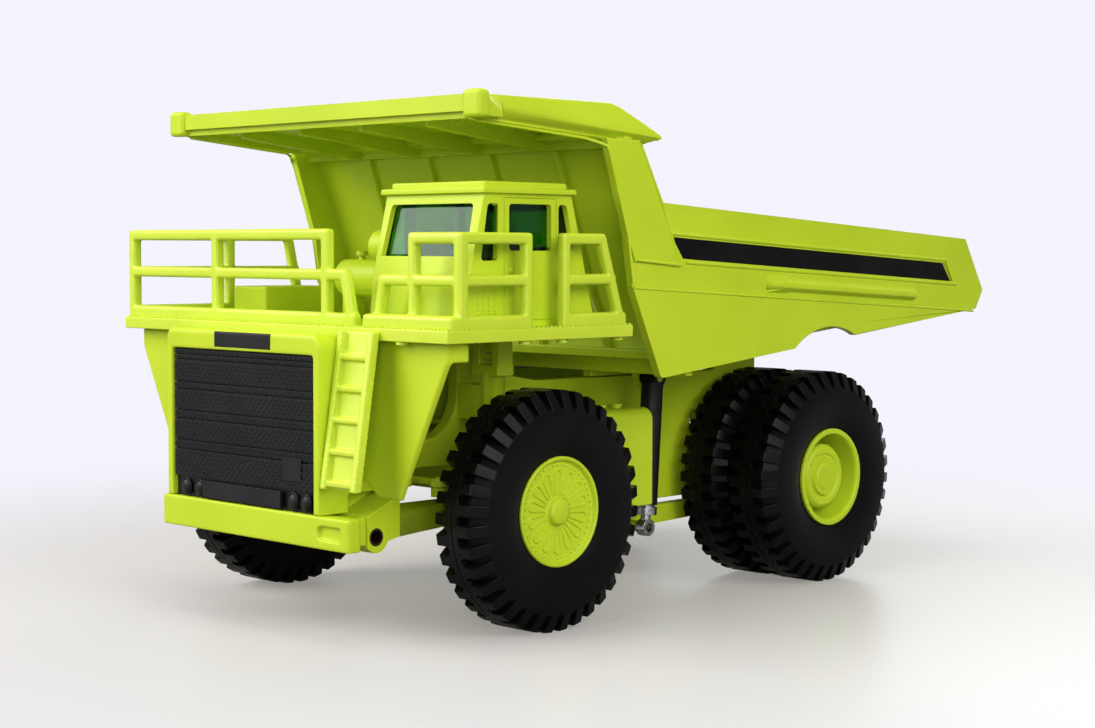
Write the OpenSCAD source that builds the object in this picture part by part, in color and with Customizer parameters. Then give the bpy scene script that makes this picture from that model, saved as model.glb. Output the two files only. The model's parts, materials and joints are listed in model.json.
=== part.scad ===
// Scale model of a rigid two-axle mining dump truck, 1:50, die-cast with plastic trim.
// Millimetres. +X forward, +Y to the cab side, +Z up. Ground is z = 0, under the middle of the length.
// Inside the modules x is counted from the rear axle; from_axle() moves a piece into the shared frame.

/* [Stance] */
// distance between the axles
wheelbase = 87.7; // [80:0.1:95]
// front axle to the back of the wings
wing_reach = 30.9; // [28:0.1:34]
// back of the wings to the bumper's face
nose_len = 10.4; // [9:0.1:12]
// rear axle to the tail's tip
rear_overhang = 59.2; // [54:0.1:64]

/* [Tyres and hubs] */
// tyre diameter over the lugs
tyre_d = 48; // [46:0.1:49]
// tyre width at the sidewalls
tyre_w = 13; // [12:0.1:14]
// gap between the twin rear tyres
twin_gap = 1.3; // [1:0.1:2]
// width of the flat tread
tread_w = 9; // [8:0.1:10]
// drop from the tread to the end of a lug
shoulder_drop = 3.6; // [3:0.1:4.5]
// lugs in one row
lug_count = 36; // [24:1:40]
// depth of the grooves between the lugs
lug_depth = 1.7; // [1:0.1:2]
// width of the band that joins the two rows
band_w = 1.8; // [1:0.1:2.5]
// rim diameter
rim_d = 22; // [20:0.1:24]
// wheel pin diameter
pin_d = 4; // [3:0.1:5]
// play around a turning pin
pin_play = 0.08; // [0.04:0.01:0.1]
// depth of the rear hub's dish
dish_depth = 8; // [6:0.1:9]
// radius of the rear hub's disc
disc_r = 7.3; // [6.8:0.1:7.8]
// rim's face to the rear hub's disc
disc_set = 2; // [1.5:0.1:3]
// petals on the front hub
petal_count = 14; // [8:1:18]

/* [Frame] */
// width over the frame's side plates
frame_w = 39; // [36:0.1:42]
// thickness of a side plate
frame_t = 3; // [2:0.1:4]
// axle to the underside of the side plates
frame_drop = 5; // [4:0.1:6]
// ground to the top of the side plates
frame_top = 46; // [43:0.1:49]
// frame's side to the rear tyre
rear_gap = 1.4; // [1:0.1:2]
// frame's side to the kingpin
king_gap = 7.8; // [7:0.1:9]
// kingpin to the front tyre
tyre_gap = 7.1; // [6:0.1:8]
// frame's top to the body hinge
hinge_rise = 7; // [6:0.1:8]
// rear axle to the body hinge
hinge_back = 4; // [3:0.1:5]
// hinge pin diameter
hinge_d = 3; // [2.5:0.1:3.4]
// frame's side to the line of the hoists
hoist_gap = 8.5; // [7.5:0.1:9.5]

/* [Front end] */
// width of the radiator housing
radiator_w = 49.6; // [46:0.1:52]
// radiator housing's middle, towards the right
radiator_shift = 2.2; // [1.5:0.1:3]
// bumper's reach past the radiator housing, left
bumper_past_left = 8.7; // [7:0.1:10]
// bumper's reach past the radiator housing, right
bumper_past_right = 1.8; // [1.2:0.1:2.4]
// underside of the bumper
bumper_z = 18.4; // [17:0.1:20]
// height of the bumper
bumper_h = 6.2; // [5.5:0.1:7]
// depth of the bumper
bumper_deep = 3.4; // [3:0.1:4.5]
// bore of the tow tube
tow_d = 2.6; // [2:0.1:3]
// width over the wings
wings_w = 97.6; // [95:0.1:100]
// radiator housing to the wings' lower corner
wing_foot = 12.9; // [11:0.1:15]
// lower end of the wings
wing_low_z = 27.9; // [26:0.1:30]
// sheet thickness of housing and wings
panel_t = 1.5; // [1.2:0.1:2]
// width of the ladder
ladder_w = 10.1; // [9:0.1:12]

/* [Deck and cab] */
// frame's top to the top of the deck
deck_rise = 14.6; // [13:0.1:16]
// deck thickness
deck_t = 2.4; // [2:0.1:3]
// width of the deck
deck_w = 103.3; // [98:0.1:108]
// deck length
deck_len = 50.3; // [47:0.1:53]
// bumper's face to the deck's front edge
deck_set = 6.4; // [6:0.1:7]
// rails above the deck
rail_h = 17.7; // [16:0.1:20]
// thickness of a rail
rail_t = 1.6; // [1.4:0.1:1.8]
// width of the cab
cab_w = 27.6; // [25:0.1:30]
// height of the cab under its roof slab
cab_h = 25.4; // [24:0.1:27]
// length of the cab at its roof
cab_roof_len = 23.5; // [22:0.1:25]
// wall thickness of the cab
cab_t = 1.2; // [1:0.1:1.5]

/* [Body] */
// width over the body's sides
body_w = 100; // [98:0.1:102]
// thickness of the body's sides
side_t = 1.8; // [1.5:0.1:2.2]
// how far the upper sides are set in
side_step = 0.5; // [0.3:0.1:0.7]
// thickness of floor and front wall
floor_t = 2; // [1.6:0.1:2.4]
// frame's top to the underside of the floor at its front
bed_gap = 6.6; // [6:0.1:7.2]
// how far the front wall stands behind the side posts
wall_back = 7.3; // [6:0.1:8]
// cab's roof to the top of the canopy
canopy_gap = 16.3; // [14:0.1:18]
// side posts to the canopy's front edge
canopy_reach = 39.3; // [36:0.1:42]

/* [Hidden] */
$fn = 48;
lime = [0.75, 0.85, 0.14];
lime_plastic = [0.78, 0.88, 0.18];
black = [0.04, 0.04, 0.045];
steel = [0.6, 0.6, 0.62];
nose = wheelbase + wing_reach + nose_len;
rear_x = (rear_overhang - nose) / 2;
tail = -rear_overhang;
tyre_r = tyre_d / 2;
axle_z = tyre_r;
frame_y = frame_w / 2;
king_y = frame_y + king_gap;
tyre_y = king_y + tyre_gap + tyre_w / 2;
inner_y = frame_y + rear_gap + tyre_w / 2;
twin_pitch = tyre_w + twin_gap;
twin_y = inner_y + twin_pitch;
rim_r = rim_d / 2;
pin_r = pin_d / 2;
bore_r = pin_r + pin_play;
slip = 0.1;
seat = 0.05;
frame_z = axle_z - frame_drop;
hinge_z = frame_top + hinge_rise;
hinge_r = hinge_d / 2;
deck_z = frame_top + deck_rise;
deck_under = deck_z - deck_t;
deck_y = deck_w / 2;
deck_front = nose - deck_set;
deck_back = deck_front - deck_len;
rad_l = radiator_w / 2 - radiator_shift;
rad_r = -radiator_w / 2 - radiator_shift;
rad_z = bumper_z + bumper_h;

module from_axle() { translate([rear_x, 0, 0]) children(); }
module both() { children(); mirror([0, 1, 0]) children(); }
module other() { mirror([0, 1, 0]) children(); }
// points of an arc from angle a to angle b
function arc(cx, cz, r, a, b, n = 8) =
  [for (k = [0:n]) [cx + r * cos(a + (b - a) * k / n), cz + r * sin(a + (b - a) * k / n)]];
// a polygon of [x, z] points between two y
module slab_y(pts, y0, y1) {
  translate([0, y1, 0]) rotate([90, 0, 0]) linear_extrude(height = y1 - y0) polygon(pts);
}
// a polygon of [y, z] points between two x
module slab_x(pts, x0, x1) {
  translate([x0, 0, 0]) rotate([90, 0, 90]) linear_extrude(height = x1 - x0) polygon(pts);
}
// a polygon of [x, y] points between two z
module slab_z(pts, z0, z1) {
  translate([0, 0, z0]) linear_extrude(height = z1 - z0) polygon(pts);
}
module block(x, y, z) {
  translate([x[0], y[0], z[0]]) cube([x[1] - x[0], y[1] - y[0], z[1] - z[0]]);
}
module rod_y(x, z, r, y0, y1) {
  translate([x, y0, z]) rotate([-90, 0, 0]) cylinder(h = y1 - y0, r = r);
}
module rod_x(y, z, r, x0, x1) {
  translate([x0, y, z]) rotate([0, 90, 0]) cylinder(h = x1 - x0, r = r);
}
module rod_z(x, y, r, z0, z1) {
  translate([x, y, z0]) cylinder(h = z1 - z0, r = r);
}
// a box with its upright edges rounded
module soft_block(x, y, z, r) {
  block([x[0] + r, x[1] - r], y, z);
  block(x, [y[0] + r, y[1] - r], z);
  for (cx = [x[0] + r, x[1] - r], cy = [y[0] + r, y[1] - r]) rod_z(cx, cy, r, z[0], z[1]);
}

// frame
frame_in = frame_y - frame_t;
frame_set = 7.7;
frame_front = nose - frame_set;
frame_neck = frame_top - 9;
tower_x = wheelbase + 2.4;
tower_r = 9.5;
tower_low = frame_top + 4;
frame_crown = 1.4;
eye_x = frame_front - 2.3;
eye_z = bumper_z + 1.8;
eye_r = 3.1;
eye_out = frame_y + 8.2;
bracket_top = rad_z + 3.4;
tube_wall = 0.45;
hoist_y = frame_y + hoist_gap;
tank_x1 = wheelbase - tyre_r - 3.2;
tank_len = 14.2;
hoist_low = [tank_x1 - tank_len - 4.6, axle_z - 9.4];
hoist_top = [hoist_low[0] - 2.2, frame_top + 1.5];
module frame_side() {
  difference() {
    slab_y(concat([[frame_front, rad_z - 2.6], [frame_front, frame_neck]],
      arc(tower_x + tower_r, frame_neck + tower_r, tower_r, 270, 180),
      [[tower_x, deck_under], [tower_x - 5.8, deck_under], [tower_x - 9, tower_low],
      [tower_x - 24, frame_top + 1.5], [9, frame_top + frame_crown], [2, hinge_z - 1]],
      arc(-hinge_back, hinge_z, hinge_r + 1.7, 20, 170),
      [[-hinge_back - 2.7, axle_z + 6], [-6, frame_z], [52, frame_z], [wheelbase + 4, axle_z + 7.5],
      [wheelbase + 20, axle_z + 7.5], [wheelbase + 26, rad_z - 2.6]]), frame_in, frame_y);
    // kidney opening
    rod_y(15.2, axle_z + 12.6, 1.9, 0, deck_y);
    rod_y(13.4, axle_z + 9.6, 1.9, 0, deck_y);
    rod_y(-hinge_back, hinge_z, hinge_r, 0, deck_y);
    rod_y(0, axle_z, pin_r, 0, deck_y);
  }
}
// bracket behind the bumper's end, with the arm that runs back from it
module leading_arm() {
  slab_y(concat([[frame_front, eye_z - 2], [frame_front, rad_z - 0.3], [eye_x - 6, bracket_top],
    [eye_x - 6, eye_z - 0.4]], arc(eye_x, eye_z, eye_r, 200, 280)), frame_in, eye_out);
  slab_z([[eye_x - 5, eye_out], [wheelbase + 18, frame_y + 5.8], [wheelbase + 5, frame_y + 2.5],
    [wheelbase + 5, frame_in], [eye_x - 5, frame_in]], eye_z - 0.6, eye_z + 4.2);
}
// hanger of the hoist, the bar back to the axle, and a pin that ends short of the rod's eye
module hoist_hanger() {
  hx = hoist_low[0];
  hz = hoist_low[1];
  slab_y([[hx - 5.7, frame_z + 1], [hx + 4.3, frame_z + 1], [hx + 3.3, hz - 1.1], [hx + 1.3, hz - 2.4],
    [hx - 1.7, hz - 2.4], [hx - 3.7, hz - 1.6]], frame_in, frame_y);
  slab_y([[hx - 1.7, hz - 1.6], [hx - 1.7, hz + 2.8], [2, hz + 3.2], [-3, frame_z + 1], [-6, frame_z + 1],
    [-3, hz - 0.1]], frame_in, frame_y);
  rod_y(hx, hz, 1.2, frame_in + 1, hoist_y - 1.6);
}
module chassis_frame() {
  color(lime) from_axle() difference() {
    union() {
      both() { frame_side(); leading_arm(); hoist_hanger(); }
      // cross members
      block([frame_front - 8, frame_front], [-frame_in - 1, frame_in + 1], [rad_z - 2.6, frame_neck - 1]);
      block([wheelbase - 10, wheelbase], [-frame_in - 1, frame_in + 1], [frame_neck + 3, deck_under]);
      block([wheelbase - 10, wheelbase + 6], [-frame_in - 1, frame_in + 1], [frame_neck - 3, frame_neck + 1]);
      block([24, 50], [-frame_in - 1, frame_in + 1], [frame_z, frame_z + 3]);
      rod_y(-2, axle_z + 14, 3.6, -frame_in - 1, frame_in + 1);
    }
    rod_y(eye_x, eye_z, tow_d / 2 + tube_wall, -deck_y, deck_y);
  }
}
// hollow rivet through the front of the frame, open from side to side
module tow_tube() {
  color(steel) from_axle() difference() {
    rod_y(eye_x, eye_z, tow_d / 2 + tube_wall - seat, -eye_out, eye_out);
    rod_y(eye_x, eye_z, tow_d / 2, -deck_y, deck_y);
  }
}

// radiator housing with the wings
hood_top = deck_z - 1.2;
hood_round = 1;
grille_edge = 1.9;
grille_l = rad_l - grille_edge;
grille_r = rad_r + grille_edge;
grille_top = hood_top - 4.3;
grille_deep = 2;
wing_x = wheelbase + wing_reach;
wing_shelf = deck_under - 3.8;
wing_low_y = rad_l + wing_foot;
module wing(edge) {
  slab_x([[edge, rad_z + 9], [wing_low_y - 6, wing_low_z], [wing_low_y, wing_low_z],
    [wings_w / 2, wing_shelf], [wings_w / 2, deck_under], [edge, deck_under]], wing_x, wing_x + panel_t);
  block([wing_x - 4.4, wing_x + 0.4], [wings_w / 2 - panel_t, wings_w / 2], [wing_shelf, deck_under]);
}
module radiator_housing() {
  intersection() {
    slab_y(concat([[nose - 24, rad_z], [nose, rad_z]],
      arc(nose - hood_round, hood_top - hood_round, hood_round, 0, 90),
      [[deck_front, hood_top], [deck_front, deck_under], [nose - 24, deck_under]]), rad_r - 1, rad_l + 1);
    slab_x(concat([[rad_r, rad_z], [rad_l, rad_z]], arc(rad_l - 3, hood_top - 3, 3, 0, 90),
      arc(rad_r + 2, hood_top - 2, 2, 90, 180)), nose - 30, nose + 1);
  }
}
module front_panel() {
  color(lime) from_axle() {
    difference() {
      radiator_housing();
      block([nose - 30, nose - 4], [rad_r + panel_t, rad_l - panel_t], [rad_z - 1, deck_under - panel_t]);
      block([nose - grille_deep, nose + 1], [grille_r, grille_l], [rad_z - 1, grille_top]);
      // room for the tow brackets
      block([nose - 30, frame_front + 0.1], [-deck_y, deck_y], [rad_z - 1, bracket_top + 0.3]);
    }
    wing(rad_l - panel_t);
    other() wing(-rad_r - panel_t);
  }
}
lamp_r = 1.45;
lamp_z = rad_z + 2.1;
strip_top = rad_z + 3.9;
panel_count = 4;
panel_pitch = (grille_top - 2.6 - strip_top) / panel_count;
module radiator_grille() {
  color(black) from_axle() {
    difference() {
      block([nose - grille_deep, nose - 0.5], [grille_r, grille_l], [rad_z, grille_top]);
      // seams between the panels, each a pair of lines
      for (k = [0:panel_count], line = [0, 1.3])
        block([nose - 0.9, nose], [grille_r - 1, grille_l + 1],
          [strip_top + k * panel_pitch - line, strip_top + k * panel_pitch - line + 0.3]);
    }
    // lamps and the smooth bar between them
    for (y = [grille_r + 2.9, grille_r + 7.4, grille_l - 8.1, grille_l - 3.4]) {
      rod_x(y, lamp_z, lamp_r, nose - 0.7, nose - 0.25);
      rod_x(y, lamp_z, lamp_r - 0.5, nose - 0.4, nose - 0.05);
    }
    block([nose - 0.7, nose - 0.1], [grille_r + 9.6, grille_l - 10.9], [rad_z + 0.4, strip_top - 0.6]);
  }
}
bumper_l = rad_l + bumper_past_left;
bumper_r = rad_r - bumper_past_right;
module bumper() {
  // back of the bumper, against the frame
  color(lime) from_axle()
    block([frame_front, nose - bumper_deep + 0.5], [-eye_out + 0.2, eye_out - 0.2], [bumper_z + 0.4, rad_z - 0.4]);
  color(lime) from_axle() difference() {
    soft_block([nose - bumper_deep, nose], [bumper_r, bumper_l], [bumper_z, rad_z], 0.8);
    // step recess
    block([nose - 0.8, nose + 1], [bumper_l - 8, bumper_l - 2.4], [bumper_z + 1.8, rad_z - 1.8]);
    rod_x(bumper_l - 8, bumper_z + bumper_h / 2, bumper_h / 2 - 1.8, nose - 0.8, nose + 1);
  }
}
lad_r = rad_l + 0.3;
lad_l = lad_r + ladder_w;
lad_low = rad_z + 5.4;
lad_deep = 1.75;
lad_lean = deck_set - lad_deep;
lad_rail = 1.3;
rung_count = 5;
module ladder() {
  color(lime_plastic) from_axle() {
    h = deck_z - 0.8 - lad_low;
    for (y = [lad_r, lad_l - lad_rail])
      slab_y([[nose, lad_low], [nose - lad_deep, lad_low], [nose - lad_deep - lad_lean, lad_low + h],
        [nose - lad_lean, lad_low + h]], y, y + lad_rail);
    slab_y([[nose - 1.2, lad_low], [nose - lad_deep, lad_low], [nose - lad_deep - lad_lean, lad_low + h],
      [nose - 1.2 - lad_lean, lad_low + h]], lad_r, lad_l);
    for (k = [0:rung_count - 1])
      translate([-lad_lean * (k + 0.2) / rung_count, 0, lad_low + 0.6 + k * h / rung_count])
        block([nose - lad_deep + 0.1, nose - 0.3], [lad_r + 0.5, lad_l - 0.5], [0, 1]);
    // bracket back to the wing
    block([wing_x + panel_t, nose - lad_deep], [lad_r, lad_r + 2], [lad_low + 1, lad_low + 2.2]);
  }
}

// deck and what stands on it
rail_x = deck_front - 2;
rail_x_left = deck_front - 4.4;
rail_y = deck_y - 1.2;
rail_top = deck_z + rail_h;
rail_mid = deck_z + rail_h / 2 + 1;
curb_h = 2.3;
rear_post = deck_back + 2;
door_post = deck_front - 31.6;
left_post = deck_front - 21.3;
right_post = deck_front - 27.1;
left_front_post = lad_r + 15;
right_front_post = rad_r + 6.5;
gate_post = lad_r - 7.7;
peg_r = 1.1;
module peg(x, y) { rod_z(x, y, peg_r, deck_under - 0.6, deck_under + 0.5); }
module deck() {
  color(lime_plastic) from_axle() {
    block([deck_back, deck_front], [-deck_y, deck_y], [deck_under, deck_z]);
    // ends of the rails' pegs
    for (x = [left_post, door_post, rear_post + 1]) peg(x, rail_y - 0.4);
    for (x = [right_post, rear_post + 1]) peg(x, -rail_y + 0.4);
    peg(deck_front - peg_r - 0.1, left_front_post);
  }
}
module bar_y(x, z, y0, y1) {
  block([x - rail_t / 2, x + rail_t / 2], [y0, y1], [z - rail_t, z]);
}
module bar_x(z, x0, x1) {
  block([x0, x1], [rail_y - rail_t / 2, rail_y + rail_t / 2], [z - rail_t, z]);
}
module curb_x(x0, x1) {
  block([x0, x1], [rail_y - rail_t / 2, rail_y + rail_t / 2], [deck_z, deck_z + curb_h]);
}
module curb_y(x, y0, y1) {
  block([x - rail_t / 2, rail_x + rail_t / 2], [y0, y1], [deck_z, deck_z + curb_h]);
}
module post(x, y, top = rail_top) {
  block([x - rail_t / 2, x + rail_t / 2], [y - rail_t / 2, y + rail_t / 2], [deck_z, top]);
}
// a post in the side rail that leans forward from x0 to x1
module lean_x(x0, x1, top) {
  slab_y([[x0, deck_z], [x0 + rail_t, deck_z], [x1 + rail_t, top], [x1, top]],
    rail_y - rail_t / 2, rail_y + rail_t / 2);
}
// a post in the front rail that leans from y0 to y1
module lean_y(x, y0, y1, top) {
  slab_x([[y0, deck_z], [y0 + rail_t, deck_z], [y1 + rail_t, top], [y1, top]],
    x - rail_t / 2, x + rail_t / 2);
}
right_lean = 4;
right_lift = 0.8;
door_lean = 6;
module railing_right() {
  top = rail_top + right_lift;
  mid = rail_mid + right_lift;
  color(lime_plastic) from_axle() {
    bar_y(rail_x, top, -rail_y - rail_t / 2, gate_post + rail_t / 2);
    bar_y(rail_x, mid, -rail_y - rail_t / 2, lad_r - 1.5);
    curb_y(rail_x, -rail_y - rail_t / 2, lad_r + 1.1);
    post(rail_x, -rail_y, top);
    post(rail_x, right_front_post, top);
    post(rail_x, gate_post, top);
    lean_y(rail_x, lad_r + 1.1 - rail_t, lad_r - 1.5 - rail_t, mid);
    other() {
      bar_x(top, rear_post + right_lean, rail_x);
      bar_x(mid, rear_post + right_lean / 2, rail_x);
      curb_x(rear_post, rail_x);
      post(right_post, rail_y, top);
      lean_x(rear_post, rear_post + right_lean, top);
    }
  }
}
module railing_left() {
  color(lime_plastic) from_axle() {
    foot = lad_r + 3.9;
    bar_y(rail_x_left, rail_top, left_front_post - rail_t / 2, rail_y + rail_t / 2);
    bar_y(rail_x_left, rail_mid, foot + 2, rail_y + rail_t / 2);
    curb_y(rail_x_left, foot, rail_y + rail_t / 2);
    lean_y(rail_x_left, foot, foot + 2, rail_mid);
    post(rail_x_left, left_front_post);
    post(rail_x_left, rail_y);
    bar_x(rail_top, left_post - rail_t / 2, rail_x_left);
    bar_x(rail_mid, left_post - rail_t / 2, rail_x_left);
    curb_x(left_post - rail_t / 2, rail_x_left);
    post(left_post, rail_y);
  }
}
module railing_door() {
  color(lime_plastic) from_axle() {
    bar_x(rail_top, rear_post + door_lean, door_post + rail_t / 2);
    bar_x(rail_mid, rear_post + door_lean / 2, door_post + rail_t / 2);
    curb_x(rear_post, door_post + rail_t / 2);
    post(door_post, rail_y);
    lean_x(rear_post, rear_post + door_lean, rail_top);
  }
}

// cab
cab_out = deck_y - 4.65;
cab_in = cab_out - cab_w;
cab_top = deck_z + cab_h;
cab_x1 = deck_front - 13.7;
cab_x0 = cab_x1 - cab_roof_len;
cab_break = deck_z + 9.8;
cab_brow = 3.8;
cab_tail = 6.8;
roof_t = 1.15;
function cab_front(z) =
  z > cab_break ? cab_x1 + cab_brow * (cab_top - z) / (cab_top - cab_break) : cab_x1 + cab_brow + 0.9;
function cab_rear(z) = cab_x0 - cab_tail * (cab_top - z) / cab_h;
module cab_form(in, low, top) {
  slab_y([[cab_front(low) - in, low], [cab_x1 + cab_brow - in, cab_break], [cab_front(top) - in, top],
    [cab_rear(top) + in, top], [cab_rear(low) + in, low]], cab_in + in, cab_out - in);
}
win_low = deck_z + 13.5;
win_top = cab_top - 1.9;
module cab_windows() {
  // windscreen and rear window
  slab_x([[cab_in + 1.5, win_low], [cab_out - 1.9, win_low], [cab_out - 2.4, win_top],
    [cab_in + 2, win_top]], cab_x1 - 3, cab_x1 + 9);
  block([cab_x0 - 9, cab_x0 + 4], [cab_in + 4, cab_out - 4], [win_low + 2, win_top - 1]);
  // front quarter, door and rear quarter, both sides
  slab_y([[cab_x1 - 3.4, win_low - 0.8], [cab_x1 + 0.9, win_low - 0.8], [cab_x1 - 0.9, win_top],
    [cab_x1 - 3.6, win_top]], cab_in - 1, cab_out + 1);
  slab_y([[cab_x0 + 5.6, win_low + 1.1], [cab_x1 - 6.5, win_low + 1.1], [cab_x1 - 6.5, win_top],
    [cab_x0 + 5.6, win_top]], cab_in - 1, cab_out + 1);
  slab_y([[cab_x0 - 0.8, win_low + 1.1], [cab_x0 + 3.6, win_low + 1.1], [cab_x0 + 3.6, win_top],
    [cab_x0 + 1.4, win_top]], cab_in - 1, cab_out + 1);
}
door_x = [cab_x0 + 4.1, cab_x1 - 5.3];
groove = 0.3;
module door_line() {
  for (x = door_x) block([x, x + groove], [cab_out - groove, cab_out + 1], [deck_z + 1.2, cab_top - 0.7]);
  for (z = [deck_z + 1.2, cab_top - 1])
    block(door_x, [cab_out - groove, cab_out + 1], [z, z + groove]);
}
module cab_shell() {
  color(lime) from_axle() {
    difference() {
      cab_form(0, deck_z, cab_top);
      cab_form(cab_t, deck_z - 1, cab_top - cab_t);
      cab_windows();
      door_line();
    }
    block([cab_x0 - 0.6, cab_x1 + 0.9], [cab_in - 0.8, cab_out + 0.8], [cab_top, cab_top + roof_t]);
    block([cab_x0 + 0.6, cab_x1 - 0.6], [cab_in + 0.6, cab_out - 0.6], [cab_top + roof_t, cab_top + 2 * roof_t]);
    // door handle
    block([cab_x1 - 7.6, cab_x1 - 6.4], [cab_out - 0.1, cab_out + 0.4], [deck_z + 10.4, deck_z + 11.4]);
  }
}
glass_t = 0.6;
module cab_glazing() {
  color([0.1, 0.3, 0.16, 0.6]) from_axle() difference() {
    cab_form(cab_t + seat, deck_z, cab_top - cab_t - seat);
    cab_form(cab_t + seat + glass_t, deck_z - 1, cab_top - cab_t - seat - glass_t);
    block([0, nose], [0, deck_w], [deck_z - 1, win_low - 2]);
  }
}
module cab_interior() {
  color(black) from_axle() {
    mid = (cab_in + cab_out) / 2;
    seat_x = cab_x0 + 4;
    dash_x = cab_x1 - 3.5;
    block([cab_x0 - 2, cab_x1], [cab_in + 3, cab_out - 3], [deck_z, deck_z + 1.2]);
    block([seat_x, seat_x + 6], [mid - 3.5, mid + 3.5], [deck_z + 1, deck_z + 9]);
    block([seat_x - 1, seat_x + 1.5], [mid - 3.5, mid + 3.5], [deck_z + 1, deck_z + 17.5]);
    block([dash_x, dash_x + 3], [cab_in + 3, cab_out - 3], [deck_z + 1, deck_z + 13]);
    translate([dash_x - 1.6, mid, deck_z + 15.3]) rotate([0, -35, 0]) cylinder(h = 0.8, r = 3.6);
    translate([dash_x + 1, mid, deck_z + 11]) rotate([0, -35, 0]) cylinder(h = 5.4, r = 0.8);
  }
}
box_x = deck_front - 22.6;
box_len = 18;
box_edge = 8.65;
box_w = 11.75;
box_y = [-deck_y + box_edge, -deck_y + box_edge + box_w];
box_h = 6.6;
module deck_box() {
  color(lime) from_axle()
    block([box_x - box_len, box_x], box_y, [deck_z, deck_z + box_h]);
}
air_x = deck_front - 30.6;
air_r = 4;
air_len = 13.6;
air_z = deck_z + 8.7;
module air_tank() {
  color(lime) from_axle() {
    mid = (box_y[1] + cab_in) / 2;
    rod_y(air_x, air_z, air_r, mid - air_len / 2, mid + air_len / 2);
    // domed end towards the cab
    translate([air_x, mid + air_len / 2 - 2.6, air_z]) rotate([-90, 0, 0])
      rotate_extrude() polygon([[0, 0], [air_r, 0], [air_r, 2.6], [air_r - 1.2, 3.5], [0, 3.9]]);
    rod_z(air_x, mid - 2.3, 0.7, air_z + air_r - 1, air_z + air_r + 1.2);
    rod_z(air_x, mid - 2.3, 1.2, air_z + air_r + 0.8, air_z + air_r + 1.7);
    for (y = [mid - air_len / 2 + 1, mid + air_len / 2 - 2.4])
      block([air_x - 2.5, air_x + 2.5], [y, y + 1.4], [deck_z, air_z - 2]);
  }
}
cleaner_x = deck_front - 24.6;
cleaner_r = 3.4;
cleaner_z = deck_z + 15.4;
cleaner_len = 14.6;
module air_cleaner() {
  color(lime) from_axle() {
    rod_y(cleaner_x, cleaner_z, cleaner_r, cab_in - cleaner_len, cab_in);
    block([cleaner_x - 1.5, cleaner_x + 1.5], [cab_in - 13, cab_in - 6], [deck_z, cleaner_z - 2]);
  }
}
tank_out = frame_y + 14.5;
tank_top = frame_top - 4.5;
tank_round = 2.6;
tank_cap_r = 1.1;
module side_tank(caps) {
  slab_x(concat([[frame_y, frame_z + 1.5], [tank_out, frame_z + 1.5]],
    arc(tank_out - tank_round, tank_top - tank_round, tank_round, 0, 90), [[frame_y, tank_top]]),
    tank_x1 - tank_len, tank_x1);
  for (x = caps) rod_z(tank_x1 + x, tank_out - 5.5, tank_cap_r, tank_top - 0.5, tank_top + 0.9);
}
module fuel_tank() { color(lime) from_axle() side_tank([-9, -4]); }
module hydraulic_tank() { color(lime) from_axle() other() side_tank([-7.5]); }

// wheels and steering
module rear_axle_pin() {
  color(steel) from_axle() rod_y(0, axle_z, pin_r, -twin_y - 0.5, twin_y + 0.5);
}
hinge_lug = 3;
module hinge_pin() {
  lug_y = frame_y + 0.4 + hinge_lug + 0.2;
  color(steel) from_axle() rod_y(-hinge_back, hinge_z, hinge_r, -lug_y, lug_y);
}
king_r = 1.7;
strut_r = 2.5;
strut_low = axle_z + 11;
strut_top = frame_top + 4.5;
module strut() {
  fork = strut_r + 1.2;
  difference() {
    union() {
      rod_z(wheelbase, king_y, strut_r, strut_low, strut_top);
      block([wheelbase - 2.4, wheelbase + 2.4], [frame_y, king_y - 1], [frame_top - 5, frame_top + 2]);
      // fork under the deck with a round eye in its window
      block([wheelbase - 2.3, wheelbase + 2.3], [king_y - fork, king_y + fork], [strut_top - 0.5, strut_top + 1.6]);
      for (y = [king_y - fork, king_y + fork - 1.8])
        block([wheelbase - 2, wheelbase + 2], [y, y + 1.8], [strut_top + 1, deck_under]);
      rod_y(wheelbase, strut_top + 4.2, 1.9, king_y - fork + 1, king_y + fork - 1);
    }
    rod_z(wheelbase, king_y, king_r + slip, strut_low - 1, frame_top + 1);
  }
}
module strut_left() { color(lime) from_axle() strut(); }
module strut_right() { color(lime) from_axle() other() strut(); }
spindle_end = tyre_y + 2.6;
arm_x = 14.8;
arm_t = 1.8;
arm_z = axle_z + 2.6;
tie_y = king_y;
tie_pin_r = 0.7;
tie_z = arm_z + arm_t + 0.2;
tie_t = 1.6;
module knuckle() {
  rod_z(wheelbase, king_y, king_r, axle_z - 5, frame_top);
  rod_z(wheelbase, king_y, strut_r, axle_z - 5.4, strut_low - 1.2);
  rod_y(wheelbase, axle_z, pin_r, king_y, spindle_end);
  slab_z([[wheelbase, king_y + 2], [wheelbase, king_y - 2], [wheelbase + arm_x, tie_y - 1.5],
    [wheelbase + arm_x, tie_y + 1.5]], arm_z, arm_z + arm_t);
  rod_z(wheelbase + arm_x, tie_y, 1.5, arm_z, arm_z + arm_t);
  rod_z(wheelbase + arm_x, tie_y, tie_pin_r, arm_z + 0.5, tie_z + tie_t + 0.3);
}
module knuckle_left() { color(lime) from_axle() knuckle(); }
module knuckle_right() { color(lime) from_axle() other() knuckle(); }
module tie_rod() {
  color(lime) from_axle() difference() {
    union() {
      rod_y(wheelbase + arm_x, tie_z + tie_t / 2, 0.7, -tie_y, tie_y);
      both() rod_z(wheelbase + arm_x, tie_y, 1.7, tie_z, tie_z + tie_t);
    }
    both() rod_z(wheelbase + arm_x, tie_y, tie_pin_r + slip, tie_z - 1, tie_z + tie_t + 1);
  }
}
half_w = tyre_w / 2;
shoulder_r = tyre_r - shoulder_drop;
bead = [[rim_r, 0.7], [rim_r + 3, 0.15], [rim_r + 6, 0], [shoulder_r, 0.3]];
function sidewall(s) = [for (p = bead) [p[0], s * (half_w - p[1])]];
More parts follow.
